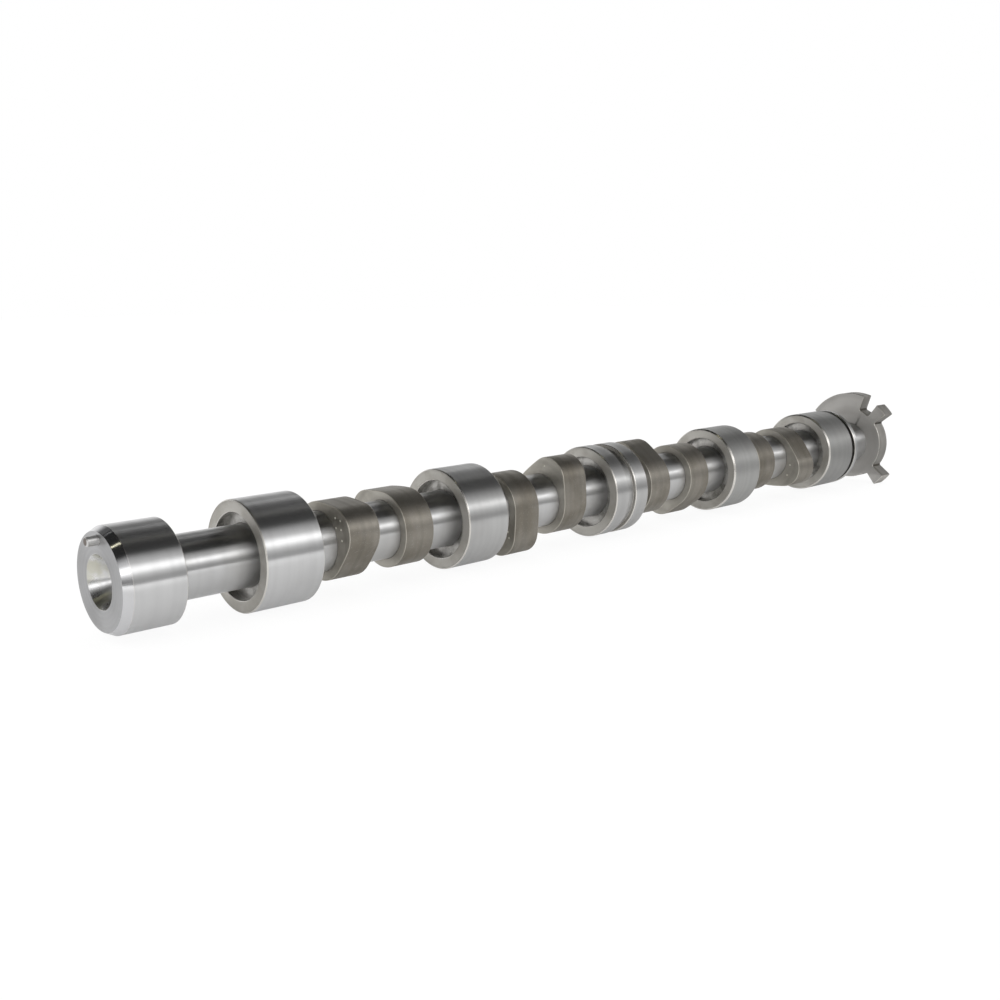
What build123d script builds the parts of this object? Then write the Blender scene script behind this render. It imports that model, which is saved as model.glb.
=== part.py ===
from build123d import *

import os
from math import atan2, cos, radians, sin, sqrt, tan

# Built-up engine camshaft for a four-cylinder head with closed, line-bored bearings.
# A drive-end journal is pressed onto the front of a ground shaft. Five journal rings,
# eight cam lobes and a sensor wheel are pressed on along it, each at its station, and a
# dowel pin in the front face indexes the drive gear.
#
# Frame: the shaft axis is +X, front face at x = 0, drive end to sensor wheel.
# +Z is up as the shaft lies on a bench, on its second journal and two wheel teeth.
# A clock angle is measured in degrees from +Z, clockwise as seen from the front,
# so that 90 degrees points along -Y. All sizes are in millimetres.

# ---------------------------------------------------------------- driving sizes
SHAFT_D = 27.5                  # ground shaft, and the bore of all that is pressed onto it
SHAFT_END_CHAMFER = 0.8
CENTRE_HOLE_D = 5.0             # 60 degree grinding centre in the rear end
CENTRE_HOLE_ANGLE = 60.0

FRONT_JOURNAL_D = 44.0          # drive-end journal
FRONT_JOURNAL_LENGTH = 26.3
FRONT_FACE_D = 40.2             # flat left inside the long front chamfer
FRONT_CHAMFER_LENGTH = 3.7
FRONT_CENTRE_D = 22.4           # mouth of the 60 degree centre in the front face
FRONT_CENTRE_ANGLE = 60.0
FRONT_CENTRE_DEPTH = 12.0       # down to its flat floor
FRONT_WEB = 3.0                 # left between the centre's floor and the shaft's socket

JOURNAL_D = 49.0                # the five line-bored journals
JOURNAL_CHAMFER = 0.8
JOURNAL_WIDTH = 25.0
LONG_JOURNAL_WIDTH = 28.4       # second journal, next to the drive end
SIXTH_JOURNAL_WIDTH = 27.0      # sixth journal, next to the retaining groove
BAY_PITCH = 103.5               # cylinder spacing
LAST_BAY_PITCH = 101.5          # from the fifth ring's front to the sixth's
FRONT_NECK_LENGTH = 33.9        # bare shaft from the front journal to the second ring
FIRST_BAY_LENGTH = 81.7         # clear length from the second ring to the third
REAR_NECK_LENGTH = 28.6         # bare shaft from the retaining rim to the sensor wheel

RECESS_D = 37.8                 # counterbore in each journal ring's front face
RECESS_DEPTH = 4.0
RECESS_LIP_CHAMFER = 0.4

OIL_GROOVE_WIDTH = 5.5          # oil groove round the middle of the fourth journal
OIL_GROOVE_DEPTH = 2.0
OIL_GROOVE_CHAMFER = 0.4

RETAINING_GROOVE_WIDTH = 3.3    # groove behind the sixth journal, for a fork plate
RETAINING_GROOVE_D = 42.0
RETAINING_RIM_WIDTH = 3.3
RETAINING_RIM_CHAMFER = 0.4

LOBE_BASE_R = 18.0              # base circle
LOBE_PEAK_R = 24.3              # nose, kept inside the bearing bore
LOBE_NOSE_R = 12.1              # nose arc
LOBE_FLANK_R = 98.0             # convex flanks
LOBE_WIDTH = 16.5
LOBE_SPACING = 34.9             # between the two lobes of one cylinder
LOBE_PAIR_OFFSET = 3.0          # the pair sits this far forward of mid-bay
LOBE_EDGE_CHAMFER = 0.4
FRONT_LOBE_CLOCK = 66.5         # nose of each cylinder's front lobe, at its phase
REAR_LOBE_CLOCK = -64.5         # nose of each cylinder's rear lobe, at its phase
CYLINDER_PHASES = (0, 90, -90, 180)     # firing order 1-3-4-2 at half crank speed

WHEEL_THICKNESS = 10.0
WHEEL_HUB_D = 47.5
WHEEL_D = 68.0                  # over the teeth
WHEEL_EDGE_CHAMFER = 0.4
TOOTH_ANGLE = 15.5              # width of a narrow tooth
TOOTH_CLOCKS = (45, 135, 225)   # middles of the narrow teeth
VANE_START_CLOCK = -52.75       # the broad tooth that marks the first cylinder
VANE_END_CLOCK = 18.5
TOOTH_ROOT_FILLET = 1.2
TOOTH_TIP_FILLET = 0.5

DOWEL_D = 4.0                   # free nose of the dowel that indexes the drive gear
DOWEL_PROJECTION = 5.0
DOWEL_SHANK_D = 4.5             # shank pressed into the front face, flush with it
DOWEL_SEAT_DEPTH = 8.0
DOWEL_HOLE_SPARE = 0.5          # hole left below the seated dowel
DOWEL_CHAMFER = 0.4
DOWEL_PITCH_R = 17.0
DOWEL_CLOCK = 4.5

# ---------------------------------------------------------------- worked-out sizes
SHAFT_R = SHAFT_D / 2
JOURNAL_R = JOURNAL_D / 2
SHAFT_FRONT_X = FRONT_CENTRE_DEPTH + FRONT_WEB
SECOND_RING_X = FRONT_JOURNAL_LENGTH + FRONT_NECK_LENGTH
THIRD_RING_X = SECOND_RING_X + LONG_JOURNAL_WIDTH + FIRST_BAY_LENGTH
FOURTH_RING_X = THIRD_RING_X + BAY_PITCH
FIFTH_RING_X = FOURTH_RING_X + BAY_PITCH
SIXTH_RING_X = FIFTH_RING_X + LAST_BAY_PITCH
BAY_ENDS_X = (THIRD_RING_X, FOURTH_RING_X, FIFTH_RING_X, SIXTH_RING_X)  # behind each cylinder
RIM_X = SIXTH_RING_X + SIXTH_JOURNAL_WIDTH + RETAINING_GROOVE_WIDTH
WHEEL_X = RIM_X + RETAINING_RIM_WIDTH + REAR_NECK_LENGTH
SHAFT_REAR_X = WHEEL_X + WHEEL_THICKNESS
ON_CIRCLE = 1e-3                # a corner this near a circle lies on it


def clock_point(radius, clock, x=0.0):
    """Point on a circle about the shaft axis."""
    return (x, -radius * sin(radians(clock)), radius * cos(radians(clock)))


def turned(profile):
    """Revolve a closed (x, radius) outline about the X axis."""
    outline = make_face(Polyline(*profile, close=True))
    return revolve(outline, Axis.X, 360)


# ---------------------------------------------------------------- shaft, front journal, dowel
def main_shaft():
    """Ground shaft, seated in the front journal's socket and flush with the wheel."""
    body = turned([
        (SHAFT_FRONT_X, 0),
        (SHAFT_FRONT_X, SHAFT_R - SHAFT_END_CHAMFER),
        (SHAFT_FRONT_X + SHAFT_END_CHAMFER, SHAFT_R),
        (SHAFT_REAR_X - SHAFT_END_CHAMFER, SHAFT_R),
        (SHAFT_REAR_X, SHAFT_R - SHAFT_END_CHAMFER),
        (SHAFT_REAR_X, 0),
    ])
    centre_depth = CENTRE_HOLE_D / 2 / tan(radians(CENTRE_HOLE_ANGLE / 2))
    return body - turned([
        (SHAFT_REAR_X, 0),
        (SHAFT_REAR_X, CENTRE_HOLE_D / 2),
        (SHAFT_REAR_X - centre_depth, 0),
    ])


def dowel_hole():
    """Blind hole that the dowel is pressed into."""
    hole = extrude(Plane.YZ * Circle(DOWEL_SHANK_D / 2), DOWEL_SEAT_DEPTH + DOWEL_HOLE_SPARE)
    return Pos(*clock_point(DOWEL_PITCH_R, DOWEL_CLOCK)) * hole


def drive_end_journal():
    """Front journal: centre and dowel hole in front, the shaft's socket behind."""
    mouth_r = FRONT_CENTRE_D / 2
    floor_r = mouth_r - FRONT_CENTRE_DEPTH * tan(radians(FRONT_CENTRE_ANGLE / 2))
    outer_r = FRONT_JOURNAL_D / 2
    body = turned([
        (FRONT_CENTRE_DEPTH, 0),
        (FRONT_CENTRE_DEPTH, floor_r),
        (0, mouth_r),
        (0, FRONT_FACE_D / 2),
        (FRONT_CHAMFER_LENGTH, outer_r),
        (FRONT_JOURNAL_LENGTH - JOURNAL_CHAMFER, outer_r),
        (FRONT_JOURNAL_LENGTH, outer_r - JOURNAL_CHAMFER),
        (FRONT_JOURNAL_LENGTH, SHAFT_R),
        (SHAFT_FRONT_X, SHAFT_R),
        (SHAFT_FRONT_X, 0),
    ])
    return body - dowel_hole()


def front_dowel_pin():
    """Stepped dowel with bevelled ends, its nose standing out of the front face."""
    nose_r, shank_r = DOWEL_D / 2, DOWEL_SHANK_D / 2
    pin = turned([
        (-DOWEL_PROJECTION, 0),
        (-DOWEL_PROJECTION, nose_r - DOWEL_CHAMFER),
        (-DOWEL_PROJECTION + DOWEL_CHAMFER, nose_r),
        (0, nose_r),
        (0, shank_r),
        (DOWEL_SEAT_DEPTH - DOWEL_CHAMFER, shank_r),
        (DOWEL_SEAT_DEPTH, shank_r - DOWEL_CHAMFER),
        (DOWEL_SEAT_DEPTH, 0),
    ])
    return Pos(*clock_point(DOWEL_PITCH_R, DOWEL_CLOCK)) * pin


# ---------------------------------------------------------------- journal rings
def journal_ring(x_front, width):
    """Journal ring with bevelled edges and a counterbored front face."""
    x_rear = x_front + width
    recess_r = RECESS_D / 2
    return turned([
        (x_front + RECESS_DEPTH, SHAFT_R),
        (x_front + RECESS_DEPTH, recess_r),
        (x_front + RECESS_LIP_CHAMFER, recess_r),
        (x_front, recess_r + RECESS_LIP_CHAMFER),
        (x_front, JOURNAL_R - JOURNAL_CHAMFER),
        (x_front + JOURNAL_CHAMFER, JOURNAL_R),
        (x_rear - JOURNAL_CHAMFER, JOURNAL_R),
        (x_rear, JOURNAL_R - JOURNAL_CHAMFER),
        (x_rear, SHAFT_R),
    ])


def second_journal_ring():
    """The wide ring next to the drive end."""
    return journal_ring(SECOND_RING_X, LONG_JOURNAL_WIDTH)


def third_journal_ring():
    """Ring between cylinders one and two."""
    return journal_ring(THIRD_RING_X, JOURNAL_WIDTH)


def fourth_journal_ring():
    """Ring between cylinders two and three, with an oil groove round its middle."""
    x_mid = FOURTH_RING_X + JOURNAL_WIDTH / 2
    half, floor_r = OIL_GROOVE_WIDTH / 2, JOURNAL_R - OIL_GROOVE_DEPTH
    groove = turned([
        (x_mid - half, floor_r),
        (x_mid - half, JOURNAL_R - OIL_GROOVE_CHAMFER),
        (x_mid - half - OIL_GROOVE_CHAMFER, JOURNAL_R),
        (x_mid + half + OIL_GROOVE_CHAMFER, JOURNAL_R),
        (x_mid + half, JOURNAL_R - OIL_GROOVE_CHAMFER),
        (x_mid + half, floor_r),
    ])
    return journal_ring(FOURTH_RING_X, JOURNAL_WIDTH) - groove


def fifth_journal_ring():
    """Ring between cylinders three and four."""
    return journal_ring(FIFTH_RING_X, JOURNAL_WIDTH)


def sixth_journal_ring():
    """Ring behind cylinder four, with the retaining groove and rim that place the shaft."""
    x_rear = SIXTH_RING_X + SIXTH_JOURNAL_WIDTH
    rim_rear = RIM_X + RETAINING_RIM_WIDTH
    rim_side_r = JOURNAL_R - RETAINING_RIM_CHAMFER
    rim = turned([
        (x_rear - JOURNAL_CHAMFER, SHAFT_R),
        (x_rear - JOURNAL_CHAMFER, RETAINING_GROOVE_D / 2),
        (RIM_X, RETAINING_GROOVE_D / 2),
        (RIM_X, rim_side_r),
        (RIM_X + RETAINING_RIM_CHAMFER, JOURNAL_R),
        (rim_rear - RETAINING_RIM_CHAMFER, JOURNAL_R),
        (rim_rear, rim_side_r),
        (rim_rear, SHAFT_R),
    ])
    return journal_ring(SIXTH_RING_X, SIXTH_JOURNAL_WIDTH) + rim


# ---------------------------------------------------------------- cam lobes
def lobe_outline():
    """Three-arc cam outline about the origin, nose along +Y of the sketch."""
    nose_y = LOBE_PEAK_R - LOBE_NOSE_R
    to_base = LOBE_FLANK_R - LOBE_BASE_R
    to_nose = LOBE_FLANK_R - LOBE_NOSE_R
    flank_y = (to_base ** 2 - to_nose ** 2 + nose_y ** 2) / (2 * nose_y)
    flank_x = -sqrt(to_base ** 2 - flank_y ** 2)

    def touch(centre_y, radius, reach):
        """Where the flank arc meets the arc of this radius about (0, centre_y)."""
        return (-flank_x / reach * radius, centre_y + (centre_y - flank_y) / reach * radius)

    def mirrored(point):
        """The same point on the other side of the nose."""
        return (-point[0], point[1])

    base_end, nose_end = touch(0, LOBE_BASE_R, to_base), touch(nose_y, LOBE_NOSE_R, to_nose)
    angles = [atan2(p[1] - flank_y, p[0] - flank_x) for p in (base_end, nose_end)]
    middle = sum(angles) / 2
    side = (flank_x + LOBE_FLANK_R * cos(middle), flank_y + LOBE_FLANK_R * sin(middle))
    wire = (ThreePointArc(base_end, side, nose_end)
            + ThreePointArc(nose_end, (0, LOBE_PEAK_R), mirrored(nose_end))
            + ThreePointArc(mirrored(nose_end), mirrored(side), mirrored(base_end))
            + ThreePointArc(mirrored(base_end), (0, -LOBE_BASE_R), base_end))
    return make_face(wire)


def lobe(x_front, clock):
    """Cam lobe with its nose at the given clock angle and bevelled side edges."""
    blank = extrude(Plane.YZ.offset(x_front) * lobe_outline(), LOBE_WIDTH)
    blank = chamfer(blank.faces().filter_by(Axis.X).edges(), LOBE_EDGE_CHAMFER)
    bore = extrude(Plane.YZ.offset(x_front) * Circle(SHAFT_R), LOBE_WIDTH)
    return Rot(X=clock) * (blank - bore)


def cylinder_lobes():
    """Front and rear lobe of each cylinder, by name, stepped round by its phase."""
    named = {}
    for number, (phase, ring_x) in enumerate(zip(CYLINDER_PHASES, BAY_ENDS_X), start=1):
        mid_bay = ring_x + (JOURNAL_WIDTH - BAY_PITCH) / 2
        front_x = mid_bay - LOBE_PAIR_OFFSET - (LOBE_SPACING + LOBE_WIDTH) / 2
        rear_x = front_x + LOBE_SPACING
        named[f"cylinder_{number}_front_lobe"] = lobe(front_x, FRONT_LOBE_CLOCK + phase)
        named[f"cylinder_{number}_rear_lobe"] = lobe(rear_x, REAR_LOBE_CLOCK + phase)
    return named


# ---------------------------------------------------------------- sensor wheel
def tooth_blank(start_clock, end_clock):
    """Sector of the wheel's outer band between two clock angles."""
    clocks = (start_clock, (start_clock + end_clock) / 2, end_clock)
    corners = [(-WHEEL_D * sin(radians(c)), WHEEL_D * cos(radians(c))) for c in clocks]
    wedge = make_face(Polyline((0, 0), *corners, close=True))
    return wedge & Circle(WHEEL_D / 2)


def corners_on(outline, radius):
    """Corners of the wheel's outline that lie on a circle about its centre."""
    return [v for v in outline.vertices() if abs(Vector(v.X, v.Y).length - radius) < ON_CIRCLE]


def sensor_wheel():
    """Sensor wheel with three narrow teeth and one broad one."""
    half = TOOTH_ANGLE / 2
    spans = [(clock - half, clock + half) for clock in TOOTH_CLOCKS]
    spans.append((VANE_START_CLOCK, VANE_END_CLOCK))
    outline = Sketch() + Circle(WHEEL_HUB_D / 2)
    for start, end in spans:
        outline += tooth_blank(start, end)
    outline = fillet(corners_on(outline, WHEEL_HUB_D / 2), TOOTH_ROOT_FILLET)
    outline = fillet(corners_on(outline, WHEEL_D / 2), TOOTH_TIP_FILLET)
    blank = extrude(Plane.YZ.offset(WHEEL_X) * outline, WHEEL_THICKNESS)
    blank = chamfer(blank.faces().filter_by(Axis.X).edges(), WHEEL_EDGE_CHAMFER)
    return blank - extrude(Plane.YZ.offset(WHEEL_X) * Circle(SHAFT_R), WHEEL_THICKNESS)


NODES = {
    "main_shaft": main_shaft(),
    "drive_end_journal": drive_end_journal(),
    "front_dowel_pin": front_dowel_pin(),
    "second_journal_ring": second_journal_ring(),
    "third_journal_ring": third_journal_ring(),
    "fourth_journal_ring": fourth_journal_ring(),
    "fifth_journal_ring": fifth_journal_ring(),
    "sixth_journal_ring": sixth_journal_ring(),
    **cylinder_lobes(),
    "sensor_wheel": sensor_wheel(),
}

os.makedirs("parts", exist_ok=True)
for name, node in NODES.items():
    export_step(node, f"parts/{name}.step")
    print(f"{name}: {len(node.solids())} solid, {node.volume / 1000:.1f} cm3, "
          f"box {node.bounding_box().size}")
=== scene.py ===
"""Looks of a built-up engine camshaft, laid on a pale studio floor.

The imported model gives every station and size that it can. The turned and ground pieces are
lathed or extruded again here with fine round edges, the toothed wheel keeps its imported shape,
and every surface gets a finish that is worked out from its place on the part. Lengths are in
metres.
"""

import logging
import math
from dataclasses import dataclass, field
from enum import Enum
from functools import cached_property
from typing import Callable, ClassVar, Sequence

import bmesh
import bpy
from mathutils import Matrix, Vector


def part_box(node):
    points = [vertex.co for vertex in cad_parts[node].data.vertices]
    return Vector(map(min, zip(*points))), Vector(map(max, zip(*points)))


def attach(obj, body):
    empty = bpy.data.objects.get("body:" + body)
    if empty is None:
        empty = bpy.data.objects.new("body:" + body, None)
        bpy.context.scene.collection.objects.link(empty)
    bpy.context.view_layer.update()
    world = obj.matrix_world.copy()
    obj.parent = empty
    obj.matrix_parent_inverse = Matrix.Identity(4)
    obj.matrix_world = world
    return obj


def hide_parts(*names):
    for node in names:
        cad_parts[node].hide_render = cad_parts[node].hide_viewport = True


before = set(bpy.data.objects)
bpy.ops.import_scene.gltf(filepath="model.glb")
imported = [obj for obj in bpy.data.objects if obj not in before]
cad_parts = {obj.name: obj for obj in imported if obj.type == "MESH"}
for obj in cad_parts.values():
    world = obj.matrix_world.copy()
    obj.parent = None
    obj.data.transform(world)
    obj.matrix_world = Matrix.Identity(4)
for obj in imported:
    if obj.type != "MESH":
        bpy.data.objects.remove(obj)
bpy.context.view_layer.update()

Outline = list[tuple[float, float]]     # the (x, radius) corners of a turned piece, in order

log = logging.getLogger("camshaft")

MM = 0.001
BODY = "root"
SHAFT_AXIS = (1.0, 0.0, 0.0)
BLUNT_CHAMFER = 0.8 * MM            # on the last two rings, whose edges are the broadest
FULL_TURN = 2 * math.pi
QUARTER_TURN = 0.25                 # as the shader counts turns, so gloss spreads across the lines
TOUCHING = 1e-4 * MM                # corners this close are one
NO_LENGTH = 1e-5 * MM               # an edge this short has none
FLAT_FACE_WEIGHT = 80               # how far large faces settle the shading of their corners
ACROSS = 0.95                       # lean along the shaft from which a face lies across it
ALONG = 0.2                         # lean up to which a face runs along the shaft

STREAKS_PER_LINE = 0.13             # broad streaks for each fine line
GRAIN_SIZE = 0.35 * MM
SCRATCH_DIRECTIONS = ((0.5, 0.2), (-0.7, 1.1))      # lean and twist of each, in radians
SCRATCH_SLENDERNESS = 30.0

# Noise levels between which a streak, a patch or a scratch comes up.
STREAK_RANGE = (0.35, 0.70)
PATCH_RANGE = (0.42, 0.66)
SCRATCH_RANGE = (0.72, 0.80)


# ------------------------------------------------------------------ node trees
class Tree:
    """A node tree that is being built, with short ways to add nodes and join them."""

    COLOUR_INPUTS = (0, 6, 7)       # a Mix node's sockets for its factor and two colours
    COLOUR_OUTPUT = 2

    def __init__(self, tree: bpy.types.NodeTree) -> None:
        """Keeps the tree and clears it."""
        self.tree = tree
        tree.nodes.clear()

    def add(self, kind: str, **values: object) -> bpy.types.Node:
        """Adds a node.

        Args:
            kind: Type name of the node, without its ShaderNode prefix.
            values: Properties of the node to set.

        Returns:
            The new node.
        """
        node = self.tree.nodes.new(f"ShaderNode{kind}")
        for name, value in values.items():
            setattr(node, name, value)
        return node

    def feed(self, target: bpy.types.NodeSocket, source: object) -> None:
        """Joins a socket to the target, or sets the target's own value.

        Args:
            target: Input socket.
            source: An output socket, or a plain value.
        """
        if isinstance(source, bpy.types.NodeSocket):
            self.tree.links.new(source, target)
        else:
            target.default_value = source

    def math(self, operation: str, *terms: object, clamp: bool = False) -> bpy.types.NodeSocket:
        """Adds a Math node.

        Args:
            operation: Name of the operation.
            terms: Sockets or numbers, in order.
            clamp: Whether the result is kept within 0 to 1.

        Returns:
            The node's output.
        """
        node = self.add("Math", operation=operation, use_clamp=clamp)
        for socket, term in zip(node.inputs, terms):
            self.feed(socket, term)
        return node.outputs[0]

    def remap(self, value: object, low: float, high: float,
              to_low: float = 0.0, to_high: float = 1.0) -> bpy.types.NodeSocket:
        """Maps a value smoothly from one range to another, and keeps it there.

        Args:
            value: Socket to map.
            low: Value that becomes to_low.
            high: Value that becomes to_high.
            to_low: Result at low.
            to_high: Result at high.

        Returns:
            The mapped value.
        """
        node = self.add("MapRange", interpolation_type="SMOOTHSTEP")
        for socket, term in zip(node.inputs, (value, low, high, to_low, to_high)):
            self.feed(socket, term)
        return node.outputs[0]

    def blend(self, factor: object, first: object, second: object) -> bpy.types.NodeSocket:
        """Mixes two colours.

        Args:
            factor: Share of the second colour.
            first: Socket or colour.
            second: Socket or colour.

        Returns:
            The mixed colour.
        """
        node = self.add("Mix", data_type="RGBA")
        for index, term in zip(self.COLOUR_INPUTS, (factor, first, second)):
            self.feed(node.inputs[index], term)
        return node.outputs[self.COLOUR_OUTPUT]

    def noise(self, point: bpy.types.NodeSocket, scale: float = 1.0, detail: float = 2.0,
              roughness: float = 0.5, dimensions: str = "3D") -> bpy.types.NodeSocket:
        """Adds a noise texture.

        Args:
            point: Place at which it is read.
            scale: Number of its cells in one unit of the place.
            detail: Number of finer layers.
            roughness: Strength of the finer layers.
            dimensions: Whether it varies in 2D or 3D.

        Returns:
            The noise, from 0 to 1.
        """
        node = self.add("TexNoise", noise_dimensions=dimensions)
        self.feed(node.inputs["Vector"], point)
        for name, value in (("Scale", scale), ("Detail", detail), ("Roughness", roughness)):
            node.inputs[name].default_value = value
        return node.outputs[0]

    def scaled(self, vector: bpy.types.NodeSocket,
               unit: bpy.types.NodeSocket) -> bpy.types.NodeSocket:
        """Measures a vector in a unit.

        Args:
            vector: Vector to divide.
            unit: Length to divide it by.

        Returns:
            The scaled vector.
        """
        node = self.add("VectorMath", operation="SCALE")
        self.feed(node.inputs[0], vector)
        self.feed(node.inputs["Scale"], self.math("DIVIDE", 1.0, unit))
        return node.outputs[0]

    def finish_with_glow(self, share: object, under: bpy.types.Node, colour: Sequence[float],
                         strength: float) -> None:
        """Ends a material in a shader that a glow covers.

        Args:
            share: Share of the glow.
            under: Shader below it.
            colour: Colour of the glow.
            strength: Strength of the glow.
        """
        glow = self.add("Emission")
        glow.inputs["Color"].default_value = colour
        glow.inputs["Strength"].default_value = strength
        mix = self.add("MixShader")
        for socket, source in zip(mix.inputs, (share, under.outputs[0], glow.outputs[0])):
            self.feed(socket, source)
        self.feed(self.add("OutputMaterial").inputs["Surface"], mix.outputs[0])


def new_material(name: str) -> tuple[bpy.types.Material, Tree]:
    """Starts a node material.

    Args:
        name: Name of the material.

    Returns:
        The material and its empty tree.
    """
    material = bpy.data.materials.new(name)
    material.use_nodes = True
    return material, Tree(material.node_tree)


def grey(level: float) -> tuple[float, float, float, float]:
    """Neutral colour of one level."""
    return (level, level, level, 1.0)


def opaque(colour: Sequence[float]) -> tuple[float, ...]:
    """Colour with a full alpha."""
    return (*colour, 1.0)


class Effect(Enum):
    """Surface effects that several finishes share, each a shader node group."""

    TOOL_LINES = "tool_lines"
    CLOUDING = "clouding"
    SCRATCHES = "scratches"
    PLACE = "place_on_part"

    def group(self) -> bpy.types.NodeTree:
        """Gives this effect's node group, and builds it the first time."""
        made = bpy.data.node_groups.get(self.value)
        return made or EFFECT_BUILDERS[self](self.value)

    def node(self, tree: Tree, **inputs: object) -> bpy.types.Node:
        """Places the effect in a material.

        Args:
            tree: Material's tree.
            inputs: Input values or sockets, by name.

        Returns:
            The group node.
        """
        node = tree.add("Group")
        node.node_tree = self.group()
        for name, value in inputs.items():
            tree.feed(node.inputs[name], value)
        return node


def new_group(name: str, inputs: dict[str, tuple[str, object]],
              outputs: dict[str, str]) -> tuple[Tree, bpy.types.Node, bpy.types.Node]:
    """Starts a shader node group with named inputs and outputs.

    Args:
        name: Name of the group.
        inputs: Socket type and default value of each input.
        outputs: Socket type of each output.

    Returns:
        The group's tree, its input node and its output node.
    """
    group = bpy.data.node_groups.new(name, "ShaderNodeTree")
    for label, (kind, default) in inputs.items():
        socket = group.interface.new_socket(name=label, in_out="INPUT", socket_type=kind)
        if default is not None:
            socket.default_value = default
    for label, kind in outputs.items():
        group.interface.new_socket(name=label, in_out="OUTPUT", socket_type=kind)
    tree = Tree(group)
    start = group.nodes.new("NodeGroupInput")
    end = group.nodes.new("NodeGroupOutput")
    return tree, start, end


def build_place(name: str) -> bpy.types.NodeTree:
    """Group that tells where a point lies, along, around and out from the shaft.

    Args:
        name: Name of the group.

    Returns:
        The node group.
    """
    tree, _, end = new_group(name, {}, {
        "Point": "NodeSocketVector", "Along": "NodeSocketFloat", "Reach": "NodeSocketFloat",
        "Turn": "NodeSocketFloat"})
    place = tree.add("TexCoord").outputs["Object"]
    split = tree.add("SeparateXYZ")
    tree.feed(split.inputs[0], place)
    across, up = split.outputs[1], split.outputs[2]
    reach = tree.math("SQRT", tree.math("ADD", tree.math("MULTIPLY", across, across),
                                        tree.math("MULTIPLY", up, up)))
    for label, value in (("Point", place), ("Along", split.outputs[0]), ("Reach", reach),
                         ("Turn", tree.math("ARCTAN2", across, up))):
        tree.feed(end.inputs[label], value)
    return tree.tree


def build_tool_lines(name: str) -> bpy.types.NodeTree:
    """Group for the fine hoops that a grinding wheel or a turning tool leaves.

    Args:
        name: Name of the group.

    Returns:
        The node group.
    """
    tree, start, end = new_group(name, {
        "Across": ("NodeSocketFloat", 0.0), "Turn": ("NodeSocketFloat", 0.0),
        "Pitch": ("NodeSocketFloat", 0.5 * MM), "Broken": ("NodeSocketFloat", 0.3)},
        {"Height": "NodeSocketFloat", "Streak": "NodeSocketFloat"})
    steps = tree.math("DIVIDE", start.outputs["Across"], start.outputs["Pitch"])
    around = tree.math("MULTIPLY", start.outputs["Turn"], start.outputs["Broken"])
    place = tree.add("CombineXYZ")
    tree.feed(place.inputs[0], steps)
    tree.feed(place.inputs[1], around)
    fine, broad = (tree.noise(place.outputs[0], scale, detail, roughness=0.6, dimensions="2D")
                   for scale, detail in ((1.0, 2.0), (STREAKS_PER_LINE, 1.0)))
    tree.feed(end.inputs["Height"], fine)
    tree.feed(end.inputs["Streak"], tree.remap(broad, *STREAK_RANGE))
    return tree.tree


def build_clouding(name: str) -> bpy.types.NodeTree:
    """Group for soft, uneven patches, as of a thin oil film or of handling; in the recesses the
    patches carry painted shade.

    Args:
        name: Name of the group.

    Returns:
        The node group.
    """
    tree, start, end = new_group(name, {
        "Point": ("NodeSocketVector", None), "Patch": ("NodeSocketFloat", 20 * MM),
        "Amount": ("NodeSocketFloat", 0.5)},
        {"Mask": "NodeSocketFloat", "Grain": "NodeSocketFloat"})
    point = start.outputs["Point"]
    soft = tree.noise(tree.scaled(point, start.outputs["Patch"]), detail=3.0)
    grain = tree.noise(point, scale=1 / GRAIN_SIZE, detail=4.0)
    mask = tree.remap(soft, *PATCH_RANGE)
    tree.feed(end.inputs["Mask"], tree.math("MULTIPLY", mask, start.outputs["Amount"]))
    tree.feed(end.inputs["Grain"], grain)
    return tree.tree


def build_scratches(name: str) -> bpy.types.NodeTree:
    """Group for sparse thin scratches that run in two slanting directions.

    Args:
        name: Name of the group.

    Returns:
        The node group.
    """
    tree, start, end = new_group(name, {
        "Point": ("NodeSocketVector", None), "Length": ("NodeSocketFloat", 12 * MM),
        "Amount": ("NodeSocketFloat", 0.5)}, {"Mask": "NodeSocketFloat"})
    masks = []
    for lean, twist in SCRATCH_DIRECTIONS:
        turned = tree.add("VectorRotate", rotation_type="EULER_XYZ")
        tree.feed(turned.inputs["Vector"], start.outputs["Point"])
        turned.inputs["Rotation"].default_value = (lean, twist, lean + twist)
        stretched = tree.add("VectorMath", operation="MULTIPLY")
        tree.feed(stretched.inputs[0], turned.outputs[0])
        stretched.inputs[1].default_value = (1.0, SCRATCH_SLENDERNESS, SCRATCH_SLENDERNESS)
        noise = tree.noise(tree.scaled(stretched.outputs[0], start.outputs["Length"]), detail=0.0)
        masks.append(tree.remap(noise, *SCRATCH_RANGE))
    both = tree.math("MAXIMUM", *masks)
    tree.feed(end.inputs["Mask"], tree.math("MULTIPLY", both, start.outputs["Amount"]))
    return tree.tree


EFFECT_BUILDERS: dict[Effect, Callable[[str], bpy.types.NodeTree]] = {
    Effect.TOOL_LINES: build_tool_lines,
    Effect.CLOUDING: build_clouding,
    Effect.SCRATCHES: build_scratches,
    Effect.PLACE: build_place,
}


# ------------------------------------------------------------------ finishes
STREAK_COLOUR = grey(0.12)
SCRATCH_COLOUR = grey(0.75)
SCRATCH_SHARE = 0.5                 # how far a scratch covers the colour below it
SCRATCH_ROUGHNESS = 0.15
SCRATCH_DEPTH = 0.01 * MM


class LinesAcross(Enum):
    """The direction in which tool lines follow each other."""

    ALONG_SHAFT = "Along"
    OUT_FROM_SHAFT = "Reach"


@dataclass(frozen=True)
class Wiring:
    """The nodes that a finish joins up into a material."""

    tree: Tree
    shader: bpy.types.Node
    lines: bpy.types.Node
    cloud: bpy.types.Node
    scratch: bpy.types.Node


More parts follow.
